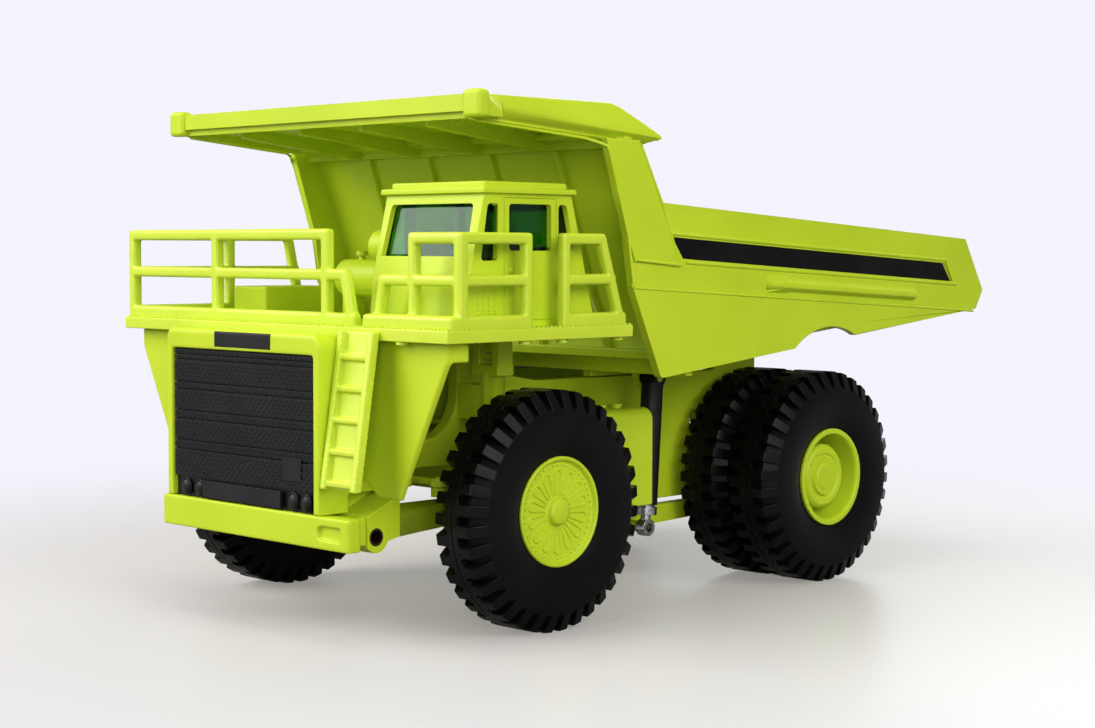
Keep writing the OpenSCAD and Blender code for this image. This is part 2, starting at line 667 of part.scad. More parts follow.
function upside(list) = [for (k = [len(list) - 1:-1:0]) list[k]];
module carcass() {
  floor_r = tyre_r - lug_depth;
  rotate_extrude() polygon(concat(sidewall(-1), [[floor_r, -tread_w / 2 + 1], [floor_r, -band_w / 2],
    [tyre_r - 0.3, -band_w / 2 + 0.2], [tyre_r - 0.3, band_w / 2 - 0.2], [floor_r, band_w / 2],
    [floor_r, tread_w / 2 - 1]], upside(sidewall(1))));
}
module lug_row(phase) {
  pitch = 360 / lug_count;
  root = shoulder_r + 0.05;
  intersection() {
    rotate_extrude() polygon([[root - 2, 0], [tyre_r, 0], [tyre_r, tread_w / 2], [shoulder_r, half_w - 0.3],
      [root - 2, half_w - 0.3]]);
    translate([0, 0, band_w / 2 - 0.3]) linear_extrude(height = half_w - 0.55 - band_w / 2 + 0.3)
      polygon([for (k = [0:lug_count - 1], c = [[-0.31, 0], [-0.27, 1], [0.27, 1], [0.31, 0]])
        let (a = (k + c[0] + phase) * pitch, r = c[1] == 0 ? root : tyre_r + 1) [r * cos(a), r * sin(a)]]);
  }
}
module tyre(y) {
  translate([0, y, axle_z]) rotate([-90, 0, 0]) {
    carcass();
    lug_row(0);
    mirror([0, 0, 1]) lug_row(0.5);
  }
}
module tyre_front_left() { color(black) from_axle() translate([wheelbase, 0, 0]) tyre(tyre_y); }
module tyre_front_right() { color(black) from_axle() other() translate([wheelbase, 0, 0]) tyre(tyre_y); }
module tyres_rear_left() { color(black) from_axle() { tyre(twin_y); tyre(inner_y); } }
module tyres_rear_right() { color(black) from_axle() other() { tyre(twin_y); tyre(inner_y); } }
petal_end = 7.7;
petal_r = 0.75;
// a round-ended groove along a radius of the front hub
module petal(face) {
  translate([0, 0, face - 1.45]) linear_extrude(height = 3) {
    polygon([[3.4, -0.35], [petal_end, -petal_r], [petal_end, petal_r], [3.4, 0.35]]);
    translate([petal_end, 0]) circle(r = petal_r);
  }
}
module hub_front() {
  face = half_w - 0.7;
  translate([wheelbase, tyre_y, axle_z]) rotate([-90, 0, 0]) difference() {
    rotate_extrude() polygon([[bore_r, -face + 1], [rim_r, -face + 1], [rim_r, face], [rim_r - 1.1, face],
      [rim_r - 1.5, face - 0.9], [2.9, face - 1.2], [2.6, face - 0.1], [2, face + 0.2], [0, face + 0.2],
      [0, 3.4], [bore_r, 3.4]]);
    for (k = [0:petal_count - 1]) rotate(k * 360 / petal_count) petal(face);
  }
}
module hub_front_left() { color(lime) from_axle() hub_front(); }
module hub_front_right() { color(lime) from_axle() other() hub_front(); }
module hub_rear() {
  face = half_w - 0.5;
  back = -twin_pitch - half_w + 0.8;
  dish = face - dish_depth;
  disc = face - disc_set;
  translate([0, twin_y, axle_z]) rotate([-90, 0, 0]) rotate_extrude()
    polygon([[bore_r, back], [rim_r, back], [rim_r, face], [rim_r - 1.1, face], [rim_r - 1.5, face - 0.9],
      [rim_r - 2, dish], [disc_r + 0.3, dish], [disc_r, disc - 0.9], [disc_r - 0.8, disc], [5.2, disc],
      [4.9, disc - 0.5], [4.5, disc - 0.5], [4.2, disc + 0.2], [3.3, disc + 0.2], [3, disc - 0.2], [2.6, disc + 0.3],
      [0, disc + 0.3], [0, disc - 2.4], [bore_r, disc - 2.4]]);
}
module hub_rear_left() { color(lime) from_axle() hub_rear(); }
module hub_rear_right() { color(lime) from_axle() other() hub_rear(); }

// dump body
side_y = body_w / 2;
body_in = side_y - side_t;
skin_y = side_y - side_step;
bed_z = frame_top + bed_gap;
post_x = deck_back;
wall_x = post_x + 7.3 - wall_back;
wall_knee = [wall_x - 10.7, bed_z + 16.4];
wall_foot = [wall_x - 18.1, bed_z + 0.4];
canopy_z = cab_top + 2 * roof_t + canopy_gap;
post_top = canopy_z - 7.2;
wall_top = canopy_z - 5.6;
board_low = canopy_z - 8.1;
canopy_x = post_x + canopy_reach;
ledge_slope = 0.057;
rib_pitch = 19.7;
rib_t = 1.2;
corner_r = 1.2;
side_low = [post_x - 10.3, bed_z - 3.4];
side_corner = arc(side_low[0] - 0.9, side_low[1] + corner_r + 0.2, corner_r, -28, -96, 4);
tail_low = [tail + 6.6, bed_z + 8.4];
function floor_under(x) = bed_z + (post_x - 15.3 - x) * 10.6 / (post_x - 15.3 - tail - 4.2);
function ledge(x) = bed_z + 11.4 + x * ledge_slope;
side_outline = concat(side_corner, [tail_low, [tail + 3, bed_z + 8.6], [tail, bed_z + 13.2], [tail + 8, bed_z + 25.7],
  [post_x - 9.9, bed_z + 32.5], [post_x - 3.4, post_top], [post_x + 6.3, post_top],
  [post_x, bed_z + 25.9], [post_x - 1.9, bed_z + 15.8]]);
lower_panel = concat(side_corner, [tail_low, [tail + 5, ledge(tail + 5)], [post_x - 1.6, ledge(post_x - 1.6)],
  [post_x - 1.9, bed_z + 15]]);
front_plate = [[post_x - 2.4, bed_z + 20.6], [post_x - 16.4, bed_z + 19.4], [post_x - 9.9, bed_z + 32.5],
  [post_x - 3.4, post_top], [post_x + 6.3, post_top], [post_x, bed_z + 25.9]];
stripe_front = [[post_x - 14.1, bed_z + 25.5], [post_x - 17.6, bed_z + 21]];
stripe_deep = 0.4;
stripe_t = 0.2;
function stripe_outline(extra) = concat(stripe_front,
  [[tail + 14.3 - extra, bed_z + 15.5 - extra * 0.1], [tail + 17.9 - extra, bed_z + 19.9]]);
bar_x0 = tail + 30.5;
bar_x1 = post_x - 45.2;
module side_bar() {
  // raised bar of wedge section with a faceted front end
  run = bar_x1 - bar_x0;
  intersection() {
    translate([bar_x1, skin_y, ledge(bar_x1) + 1]) rotate([0, -90 - atan(ledge_slope), 0])
      linear_extrude(height = run)
      polygon([[0, -0.5], [1.1, 1.5], [2.2, 1.5], [3.7, 0], [3.7, -0.5]]);
    slab_z([[bar_x0 - 9, skin_y - 1], [bar_x0 - 9, side_y + 4], [bar_x1 - 5.5, side_y + 4],
      [bar_x1 - 5.5, skin_y + 2], [bar_x1, skin_y], [bar_x1, skin_y - 1]], 0, canopy_z);
  }
}
module body_side() {
  difference() {
    union() {
      slab_y(side_outline, body_in, skin_y);
      slab_y(lower_panel, body_in, side_y);
      slab_y(front_plate, body_in, side_y);
      side_bar();
    }
    slab_y(stripe_outline(0.8), skin_y - stripe_deep, side_y + 4);
    // notch over the rear tyre
    rod_y(4, tyre_d - 11.1, 21.4, body_in - 1, side_y + 4);
  }
}
module floor_and_wall() {
  fx = post_x - 15.3;
  bx = tail + 4.2;
  across = body_in + 0.5;
  slab_y([[fx, floor_under(fx)], [fx, floor_under(fx) + floor_t], [bx, floor_under(bx) + floor_t],
    [bx, floor_under(bx)]], -across, across);
  wall_low = [wall_knee[0] - 9.2, side_low[1]];
  slab_y([wall_low, [wall_low[0] - floor_t, wall_low[1]], [wall_knee[0] - floor_t, wall_knee[1]],
    [wall_x - floor_t, wall_top], [wall_x, wall_top], wall_knee], -across, across);
  // ribs of the front wall, which run on under the canopy and taper off
  for (k = [-1.5:1:1.5]) {
    slab_y([[wall_foot[0] - 1.4, wall_foot[1] - 2], [wall_knee[0] - 0.5, wall_knee[1]], [wall_x - 0.5, wall_top - 0.4],
      [wall_x + rib_t, wall_top - 0.4], [wall_knee[0] + rib_t, wall_knee[1]], [wall_foot[0] + rib_t, wall_foot[1]]],
      k * rib_pitch - rib_t / 2, k * rib_pitch + rib_t / 2);
    slab_y([[wall_x + 1, wall_top - 0.4], [wall_x + 1, canopy_z - 9], [wall_x + 4, canopy_z - 9.2],
      [canopy_x - 4, canopy_z - 5.6], [canopy_x - 4, canopy_z - 4.6]],
      k * rib_pitch - rib_t / 2, k * rib_pitch + rib_t / 2);
  }
}
board_turn = 3.2;
board_pitch = 4.6;
tip_x = post_x - 10.2;
ear_z = [canopy_z - 4.7, canopy_z + 0.6];
ear_y = side_y - 0.8;
module side_board() {
  intersection() {
    translate([tip_x, side_y, canopy_z - 8.8]) rotate([0, -board_pitch, -board_turn]) rotate([90, 0, 90])
      linear_extrude(height = canopy_x - tip_x + 4)
      polygon([[-3, 0.4], [-2.6, 0], [-1.9, 0], [-1.5, 0.5], [-1.5, 0.9], [0, 2.1], [0, 3.3], [-1.8, 9.4],
        [-3, 9.4], [-2.6, 3.3]]);
    slab_y([[tip_x, canopy_z - 6.8], [tip_x + 0.4, canopy_z - 6], [post_x + 0.4, canopy_z - 0.8],
      [post_x + 2.8, canopy_z - 0.1], [canopy_x - 1, canopy_z - 0.1], [canopy_x - 1, canopy_z - 6],
      [post_x + 6.3, board_low], [post_x - 6, board_low]], 0, deck_w);
  }
}
// cap at each front corner of the canopy
module ear() {
  slab_x(concat([[ear_y - 4.6, ear_z[0] + 0.6], [ear_y - 0.6, ear_z[0]], [ear_y, ear_z[0] + 0.6]],
    arc(ear_y - 1.4, ear_z[1] - 1.4, 1.4, 0, 90, 4), arc(ear_y - 3.2, ear_z[1] - 1.4, 1.4, 90, 180, 4)),
    canopy_x - 1.2, canopy_x + 0.9);
  block([canopy_x - 7, canopy_x - 1], [ear_y - 3.4, ear_y], [ear_z[0] + 0.3, ear_z[1] - 1.4]);
}
module canopy() {
  rear_y = side_y - 1.5;
  front_y = rear_y - (canopy_x - tip_x) * tan(board_turn);
  intersection() {
    union() {
      slab_y([[post_x - 8.8, canopy_z - 6.6], [tip_x, canopy_z - 6.4], [post_x - 6.3, canopy_z - 4.4],
        [canopy_x - 1, canopy_z - 2.8], [canopy_x - 1, canopy_z - 4.7], [post_x + 6.3, canopy_z - 7],
        [post_x - 2.3, canopy_z - 8]], -side_y, side_y);
      block([canopy_x - 2, canopy_x], [-side_y, side_y], [canopy_z - 3.6, canopy_z - 0.2]);
    }
    slab_z([[tip_x, -rear_y], [canopy_x + 1, -front_y], [canopy_x + 1, front_y], [tip_x, rear_y]], 0, 2 * canopy_z);
  }
  // rail across the top of the wall
  block([wall_x - 1, wall_x + 2.4], [-body_in, body_in], [canopy_z - 9, canopy_z - 6]);
  both() { side_board(); ear(); }
}
lug_r = hinge_r + 1.4;
hoist_pin_r = 0.9;
module body_lugs() {
  both() {
    // hinge lugs
    difference() {
      slab_y(concat(arc(-hinge_back, hinge_z, lug_r, 190, 350),
        [[-hinge_back + 5.4, floor_under(-hinge_back + 5.4) + 1], [-hinge_back - 4, floor_under(-hinge_back - 4) + 1]]),
        frame_y + 0.4, frame_y + 0.4 + hinge_lug);
      rod_y(-hinge_back, hinge_z, hinge_r + pin_play, 0, side_y);
    }
    // hoist lugs, inboard of the tubes
    slab_y(concat(arc(hoist_top[0], hoist_top[1], 1.9, 190, 350, 6),
      [[hoist_top[0] + 4, floor_under(hoist_top[0] + 4) + 1], [hoist_top[0] - 4, floor_under(hoist_top[0] - 4) + 1]]),
      hoist_y - 4.4, hoist_y - 2.8);
    rod_y(hoist_top[0], hoist_top[1], hoist_pin_r, hoist_y - 3.4, hoist_y + 2.2);
  }
}
// rail under the floor, above the frame's side
rail_play = 0.3;
rail_span = [11, 50];
module body_rail() {
  low = frame_top + frame_crown + rail_play;
  slab_y([[rail_span[0], low], [rail_span[1], low], [rail_span[1], floor_under(rail_span[1]) + rail_play],
    [rail_span[0], floor_under(rail_span[0]) + rail_play]], frame_in + rail_play, frame_y - rail_play);
}
module dump_body() {
  color(lime) from_axle() {
    both() body_side();
    floor_and_wall();
    canopy();
    body_lugs();
    both() body_rail();
  }
}
module stripe() {
  slab_y(stripe_outline(0), skin_y - stripe_deep, skin_y - stripe_deep + stripe_t);
}
module stripe_left() { color(black) from_axle() stripe(); }
module stripe_right() { color(black) from_axle() other() stripe(); }

// hoist cylinders, drawn along their own line from the top pin
tube_r = 2.4;
stage_r = 1.75;
rod_r = 1.1;
hoist_lean = atan2(hoist_low[0] - hoist_top[0], hoist_top[1] - hoist_low[1]);
hoist_len = norm(hoist_low - hoist_top);
tube_end = hoist_len - 5;
module hoist_at() {
  from_axle() translate([hoist_top[0], hoist_y, hoist_top[1]]) rotate([0, -hoist_lean, 0]) children();
}
module hoist_tube() {
  hoist_at() difference() {
    union() {
      rod_z(0, 0, tube_r, -tube_end, -1);
      rod_y(0, 0, 1.9, -2.2, 2.2);
    }
    rod_z(0, 0, stage_r + slip, -tube_end - 1, -3);
    rod_y(0, 0, hoist_pin_r + slip, -3, 3);
  }
}
module hoist_stage() {
  hoist_at() difference() {
    union() {
      rod_z(0, 0, stage_r, -tube_end - 1, -3.4);
      rod_z(0, 0, tube_r, -tube_end - 2.2, -tube_end - 0.4);
    }
    rod_z(0, 0, rod_r + slip, -tube_end - 3, -4);
  }
}
module hoist_rod() {
  hoist_at() difference() {
    union() {
      rod_z(0, 0, rod_r, -hoist_len + 1.2, -4.4);
      rod_y(0, -hoist_len, 1.9, -1.2, 1.2);
    }
    rod_y(0, -hoist_len, hoist_pin_r + slip, -3, 3);
  }
}
module hoist_tube_left() { color(black) hoist_tube(); }
module hoist_tube_right() { color(black) other() hoist_tube(); }
module hoist_stage_left() { color(steel) hoist_stage(); }
module hoist_stage_right() { color(steel) other() hoist_stage(); }
module hoist_rod_left() { color(steel) hoist_rod(); }
module hoist_rod_right() { color(steel) other() hoist_rod(); }

chassis_frame();
tow_tube();
front_panel();
radiator_grille();
bumper();
ladder();
deck();
railing_right();
railing_left();
railing_door();
cab_shell();
cab_glazing();
cab_interior();
deck_box();
air_tank();
air_cleaner();
fuel_tank();
hydraulic_tank();
rear_axle_pin();
hinge_pin();
strut_left();
strut_right();
knuckle_left();
knuckle_right();
tie_rod();
tyre_front_left();
tyre_front_right();
hub_front_left();
hub_front_right();
tyres_rear_left();
tyres_rear_right();
hub_rear_left();
hub_rear_right();
dump_body();
stripe_left();
stripe_right();
hoist_tube_left();
hoist_tube_right();
hoist_stage_left();
hoist_stage_right();
hoist_rod_left();
hoist_rod_right();
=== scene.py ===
"""Looks of a 1:50 die-cast mining dump truck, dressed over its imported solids. Meshes are shaped in millimetres."""
import json
import math
from functools import lru_cache
import bpy
import bmesh
from mathutils import Matrix, Vector
from mathutils.bvhtree import BVHTree


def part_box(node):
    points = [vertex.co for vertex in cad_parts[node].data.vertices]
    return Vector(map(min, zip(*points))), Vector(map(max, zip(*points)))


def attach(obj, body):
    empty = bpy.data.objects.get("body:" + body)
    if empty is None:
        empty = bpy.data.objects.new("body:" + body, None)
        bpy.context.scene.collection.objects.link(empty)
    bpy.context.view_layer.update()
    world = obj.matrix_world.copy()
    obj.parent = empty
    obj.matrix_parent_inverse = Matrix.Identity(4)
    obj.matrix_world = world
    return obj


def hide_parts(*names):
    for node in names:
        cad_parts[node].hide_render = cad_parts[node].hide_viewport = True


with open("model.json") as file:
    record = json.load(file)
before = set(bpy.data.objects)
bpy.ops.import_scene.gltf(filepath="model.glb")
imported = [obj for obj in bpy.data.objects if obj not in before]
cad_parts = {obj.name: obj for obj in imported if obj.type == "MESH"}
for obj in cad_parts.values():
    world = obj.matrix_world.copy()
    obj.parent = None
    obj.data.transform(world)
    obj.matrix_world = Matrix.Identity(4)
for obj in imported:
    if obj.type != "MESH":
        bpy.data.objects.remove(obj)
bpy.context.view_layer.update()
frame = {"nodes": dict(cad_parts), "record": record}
solids = frame["nodes"]
record = frame["record"]
slot_of = {s["node"]: s["material_slot"] for s in record["subparts"]}
body_of = {n: b for b, names in record["behaviour"]["bodies"].items() for n in names}
MM = 0.001


def extent(name):
    """Lowest and highest corner of a solid, in millimetres."""
    low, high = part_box(name)
    return low / MM, high / MM


def spot(name):
    """Middle of a solid, in millimetres."""
    low, high = extent(name)
    return (low + high) / 2


# the truck's own lines: bumper face, tail, rear axle, body post, bed floor, body side and its skin, canopy, ears

NOSE = extent("bumper")[1].x
TAIL = extent("dump_body")[0].x
REAR = TAIL + 59.2
POST, BED, SIDE, SKIN = REAR + 72.3, 52.6, 50.0, 49.5
CANOPY_X, EAR_TOP = POST + 39.3, extent("dump_body")[1].z


# finishes

GRAIN_DEPTH = 0.0001


def finish(name, colour, rough, **sockets):
    mat = bpy.data.materials.new(name)
    mat.use_nodes = True
    shader = mat.node_tree.nodes["Principled BSDF"]
    shader.inputs["Base Color"].default_value = (*colour, 1)
    shader.inputs["Roughness"].default_value = rough
    for key, value in sockets.items():
        shader.inputs[key.replace("_", " ")].default_value = value
    return mat


def wire(mat, kind, inputs=None, **props):
    """A node in a finish, with its inputs set or linked."""
    node = mat.node_tree.nodes.new(kind)
    for key, value in props.items():
        setattr(node, key, value)
    for key, value in (inputs or {}).items():
        if isinstance(value, bpy.types.NodeSocket):
            mat.node_tree.links.new(value, node.inputs[key])
        else:
            node.inputs[key].default_value = value
    return node


def plug(mat, output, key):
    mat.node_tree.links.new(output, mat.node_tree.nodes["Principled BSDF"].inputs[key])


def place(mat):
    return wire(mat, "ShaderNodeTexCoord").outputs["Object"]


def mottle(mat, dark, light, scale):
    """Slow colour change over the surface."""
    noise = wire(mat, "ShaderNodeTexNoise", {"Vector": place(mat), "Scale": scale, "Detail": 4})
    span = wire(mat, "ShaderNodeMapRange", {"Value": noise.outputs["Fac"], "From Min": 0.35, "From Max": 0.65})
    mix = wire(mat, "ShaderNodeMix", {"Factor": span.outputs["Result"], "A": (*dark, 1), "B": (*light, 1)},
               data_type="RGBA")
    plug(mat, mix.outputs["Result"], "Base Color")


def sheen_patches(mat, scale, low, high):
    """Roughness that wanders between two values."""
    noise = wire(mat, "ShaderNodeTexNoise", {"Vector": place(mat), "Scale": scale, "Detail": 5})
    span = wire(mat, "ShaderNodeMapRange", {"Value": noise.outputs["Fac"], "From Min": 0.3, "From Max": 0.7,
                                            "To Min": low, "To Max": high})
    plug(mat, span.outputs["Result"], "Roughness")


def grain(mat, scale, strength):
    """Fine unevenness of paint and mouldings."""
    noise = wire(mat, "ShaderNodeTexNoise", {"Vector": place(mat), "Scale": scale, "Detail": 3})
    bump = wire(mat, "ShaderNodeBump", {"Height": noise.outputs["Fac"], "Strength": strength,
                                        "Distance": GRAIN_DEPTH})
    plug(mat, bump.outputs["Normal"], "Normal")


def make_finishes():
    paint = finish("lime_paint", (0.5, 0.63, 0.02), 0.38, Specular_IOR_Level=0.25)
    mottle(paint, (0.47, 0.6, 0.017), (0.525, 0.655, 0.024), 45)
    sheen_patches(paint, 160, 0.34, 0.44)
    grain(paint, 600, 0.03)
    # painted shade: a darker copy of the lime paint for the chassis frame, which sits in shade under the body; it is
    # also rougher and less glossy
    shade_darkened_paint = finish("frame_paint_darkened_for_shade", (0.47, 0.6, 0.018), 0.5, Specular_IOR_Level=0.15)
    mottle(shade_darkened_paint, (0.44, 0.57, 0.015), (0.49, 0.62, 0.02), 45)
    grain(shade_darkened_paint, 600, 0.03)
    plastic = finish("lime_plastic", (0.55, 0.69, 0.03), 0.36, Subsurface_Weight=0.1, Subsurface_Scale=0.001)
    mottle(plastic, (0.53, 0.665, 0.024), (0.575, 0.71, 0.036), 60)
    sheen_patches(plastic, 200, 0.32, 0.44)
    grain(plastic, 700, 0.03)
    black = finish("black_plastic", (0.006, 0.006, 0.0065), 0.42, Specular_IOR_Level=0.2)
    mottle(black, (0.004, 0.004, 0.0045), (0.008, 0.008, 0.009), 120)
    sheen_patches(black, 300, 0.36, 0.5)
    grain(black, 2500, 0.15)
    trim = finish("cab_trim", (0.004, 0.004, 0.005), 0.5, Specular_IOR_Level=0.25)
    mottle(trim, (0.003, 0.003, 0.004), (0.006, 0.006, 0.007), 200)
    grain(trim, 2200, 0.15)
    glass = finish("tinted_glass", (0.12, 0.45, 0.18), 0.03, Transmission_Weight=1.0, IOR=1.3,
                   Specular_IOR_Level=0.05)
    mottle(glass, (0.1, 0.42, 0.15), (0.14, 0.49, 0.2), 80)
    stripe = finish("black_stripe", (0.003, 0.003, 0.003), 0.4, Specular_IOR_Level=0.08)
    mottle(stripe, (0.002, 0.002, 0.002), (0.005, 0.005, 0.005), 150)
    sheen_patches(stripe, 400, 0.34, 0.46)
    steel = finish("plain_steel", (0.36, 0.36, 0.37), 0.3, Metallic=1.0)
    mottle(steel, (0.28, 0.28, 0.29), (0.44, 0.44, 0.45), 700)
    sheen_patches(steel, 900, 0.22, 0.42)
    rivet = finish("dull_brass", (0.16, 0.1, 0.05), 0.4, Metallic=1.0)
    mottle(rivet, (0.1, 0.06, 0.03), (0.2, 0.13, 0.07), 600)
    sheen_patches(rivet, 700, 0.32, 0.5)
    rubber = finish("tyre_rubber", (0.003, 0.003, 0.003), 0.3, Specular_IOR_Level=0.1)
    mottle(rubber, (0.002, 0.002, 0.002), (0.004, 0.004, 0.004), 90)
    sheen_patches(rubber, 260, 0.24, 0.36)
    grain(rubber, 3000, 0.12)
    return {"green_paint": paint, "green_plastic": plastic, "black_plastic": black, "cab_trim": trim,
            "tinted_glass": glass, "black_stripe": stripe, "steel": steel, "tyre": rubber, "rivet": rivet,
            "frame": shade_darkened_paint}


finishes = make_finishes()


# shaping

def as_mesh(name, bm):
    mesh = bpy.data.meshes.new(name)
    bm.to_mesh(mesh)
    bm.free()
    return mesh


def put(name, data):
    obj = bpy.data.objects.new(name, data)
    bpy.context.scene.collection.objects.link(obj)
    return obj


def whole(bm):
    return bm.verts[:] + bm.edges[:] + bm.faces[:]


def only(geom, kind):
    return [g for g in geom if isinstance(g, kind)]


def piece(name, bm, body, slot, replaced=(), mat=None, crease=40):
    """Turns a mesh in millimetres into a finished piece on its body."""
    bmesh.ops.scale(bm, vec=(MM, MM, MM), verts=bm.verts)
    mesh = as_mesh(name, bm)
    mesh.shade_smooth()
    mesh.set_sharp_from_angle(angle=math.radians(crease))
    mesh.materials.append(mat or finishes[slot])
    obj = put(name, mesh)
    obj.modifiers.new("even_shading", "WEIGHTED_NORMAL").keep_sharp = True
    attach(obj, body)
    if replaced:
        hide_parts(*replaced)


def bevel(bm, edges, width, segments=2):
    bmesh.ops.bevel(bm, geom=list(edges), offset=width, offset_type="OFFSET", segments=segments, profile=0.5,
                    affect="EDGES", clamp_overlap=False, material=-1, loop_slide=True)


def casting(name):
    """A merged copy of a solid's mesh in millimetres, with its flat faces whole again."""
    bm = bmesh.new()
    bm.from_mesh(solids[name].data)
    bmesh.ops.scale(bm, vec=(1 / MM, 1 / MM, 1 / MM), verts=bm.verts)
    bmesh.ops.remove_doubles(bm, verts=bm.verts, dist=0.004)
    bmesh.ops.dissolve_limit(bm, angle_limit=math.radians(0.8), verts=bm.verts, edges=bm.edges)
    return bm


def sharp_edges(bm, angle=28, outer=False):
    return [e for e in bm.edges if len(e.link_faces) == 2 and e.calc_face_angle(0) > math.radians(angle)
            and (e.is_convex or not outer)]


def roomy(edge, width):
    """Whether both ends of an edge have room for its rounding."""
    return all(other.calc_length() > 2.2 * width for v in edge.verts for other in v.link_edges)


def soften(name, width, mat=None):
    """A solid with its edges rounded as a casting's or moulding's are."""
    bm = casting(name)
    bevel(bm, [e for e in sharp_edges(bm, outer=True) if roomy(e, width)], width)
    piece(name + "_soft", bm, body_of[name], slot_of[name], [name], mat)


def moulded(name, grid, passes, swell, keep=0.4):
    """A solid melted a little, so that bars run into each other with soft corners."""
    mesh = as_mesh(name + "_blank", casting(name))
    blank = put(name + "_blank", mesh)
    cells = blank.modifiers.new("cells", "REMESH")
    cells.mode, cells.voxel_size = "VOXEL", grid
    melt = blank.modifiers.new("melt", "SMOOTH")
    melt.factor, melt.iterations = 0.5, passes
    blank.modifiers.new("thin", "DECIMATE").ratio = keep
    bpy.context.view_layer.update()
    done = bpy.data.meshes.new_from_object(blank.evaluated_get(bpy.context.evaluated_depsgraph_get()))
    bm = bmesh.new()
    bm.from_mesh(done)
    for data in (mesh, done):
        bpy.data.meshes.remove(data)
    bm.normal_update()
    for v in bm.verts:
        v.co += v.normal * swell
    piece(name + "_moulded", bm, body_of[name], slot_of[name], [name], crease=180)


def bar(bm, low, high, edge, segments=2):
    """A block between two corners, with rounded edges."""
    low, high = Vector(low), Vector(high)
    size = Matrix.Translation((low + high) / 2) @ Matrix.Diagonal((*(high - low), 1))
    verts = bmesh.ops.create_cube(bm, size=1, matrix=size)["verts"]
    bevel(bm, dict.fromkeys(e for v in verts for e in v.link_edges), edge, segments)


def bead(bm, middle, radius, flat=(1, 1, 1)):
    size = Matrix.Translation(middle) @ Matrix.Diagonal((*flat, 1))
    bmesh.ops.create_icosphere(bm, subdivisions=2, radius=radius, matrix=size)


def turned(bm, profile, middle, axis, steps=32):
    """A profile of (radius, height) points turned about an axis through a point."""
    axis, middle = Vector(axis), Vector(middle)
    side = axis.orthogonal().normalized()
    line = [bm.verts.new(middle + side * r + axis * h) for r, h in profile]
    edges = [bm.edges.new(pair) for pair in zip(line, line[1:])]
    bmesh.ops.spin(bm, geom=line + edges, cent=middle, axis=axis, dvec=(0, 0, 0), angle=2 * math.pi,
                   steps=steps, use_merge=True)


def station(middle, across, up):
    """Where a section stands on its path: its first axis across the path, its second up from the surface."""
    return Matrix.Translation(middle) @ Matrix((across, up, across.cross(up))).transposed().to_4x4()


def drawn(bm, section, stations):
    """A section of (across, up) points drawn through its stations, with both ends closed."""
    face = bm.faces.new([bm.verts.new(stations[0] @ Vector((*at, 0))) for at in section])
    for here, there in zip(stations, stations[1:]):
        made = bmesh.ops.extrude_face_region(bm, geom=[face, *face.edges])["geom"]
        face = only(made, bmesh.types.BMFace)[0]
        bmesh.ops.transform(bm, matrix=there @ here.inverted(), verts=face.verts[:])


def forward_grid(bm, y, z, x, across, up):
    """A grid of faces that looks forward, between two widths and two heights."""
    turn = Matrix(((0, 0, 1, x), (y[1] - y[0], 0, 0, sum(y) / 2), (0, z[1] - z[0], 0, sum(z) / 2), (0, 0, 0, 1)))
    return bmesh.ops.create_grid(bm, x_segments=across, y_segments=up, size=0.5, matrix=turn)["verts"]


@lru_cache
def skin_of(name):
    mesh = solids[name].data
    return BVHTree.FromPolygons([v.co / MM for v in mesh.vertices], [f.vertices for f in mesh.polygons])


def seat(name, start, toward):
    """Where a line from a point first meets a solid, in millimetres."""
    return skin_of(name).ray_cast(Vector(start), Vector(toward))[0]


# tyres

TYRE_R, TYRE_HALF, LUGS = 24.0, 6.5, 36
SLOT, SLOT_END, LUG_DEPTH, SHOULDER = 0.95, 2.3, 4.0, 6.3
BASE_R, BASE_Y = 22.3, 3.4
WALL = [(11.0, 5.35), (11.5, 5.5), (12.4, 5.82), (13.8, 6.18), (15.6, 6.42), (17.4, 6.5), (19.2, 6.42),
        (20.1, 6.28), (20.34, 6.2), (20.42, 6.08), (BASE_R, BASE_Y)]


def lug_block():
    """One pitch of one row: two half lugs, the slot between them with its round end, and the middle band."""
    half = math.pi * TYRE_R / LUGS
    bends = [math.radians(22.5 * k) for k in range(1, 8)]
    rim = [(-half, 0.06), (half, 0.06), (half, SHOULDER), (SLOT, SHOULDER), (SLOT, SLOT_END)]
    rim += [(SLOT * math.cos(a), SLOT_END - SLOT * math.sin(a)) for a in bends]
    rim += [(-SLOT, SLOT_END), (-SLOT, SHOULDER), (-half, SHOULDER)]
    bm = bmesh.new()
    top = bm.faces.new([bm.verts.new((s, y, TYRE_R)) for s, y in rim])
    foot = bmesh.ops.extrude_face_region(bm, geom=[top])["geom"]
    for v in only(foot, bmesh.types.BMVert):
        v.co.z -= LUG_DEPTH
        if abs(v.co.x) < SLOT + 0.01:
            v.co.x *= 0.78
            v.co.y += 0.25 if v.co.y < 3 else 0
    bmesh.ops.recalc_face_normals(bm, faces=bm.faces)
    cut = bmesh.ops.bisect_plane(bm, geom=whole(bm), plane_co=(0, 4.5, TYRE_R), plane_no=(0, 3.45, 1.7),
                                 clear_outer=True)["geom_cut"]
    bmesh.ops.edgeloop_fill(bm, edges=only(cut, bmesh.types.BMEdge))
    for s in (-half / 2, 0, half / 2):
        bmesh.ops.bisect_plane(bm, geom=whole(bm), plane_co=(s, 0, 0), plane_no=(1, 0, 0))
    loose = [f for f in bm.faces if all(abs(abs(v.co.x) - half) < 0.01 for v in f.verts)
             or all(v.co.z < TYRE_R - LUG_DEPTH + 0.1 for v in f.verts)]
    bmesh.ops.delete(bm, geom=loose, context="FACES")
    bmesh.ops.recalc_face_normals(bm, faces=bm.faces)
    bevel(bm, sharp_edges(bm, 30), 0.16)
    for v in bm.verts:
        turn = v.co.x / TYRE_R
        v.co.x, v.co.z = v.co.z * math.sin(turn), v.co.z * math.cos(turn)
    return bm


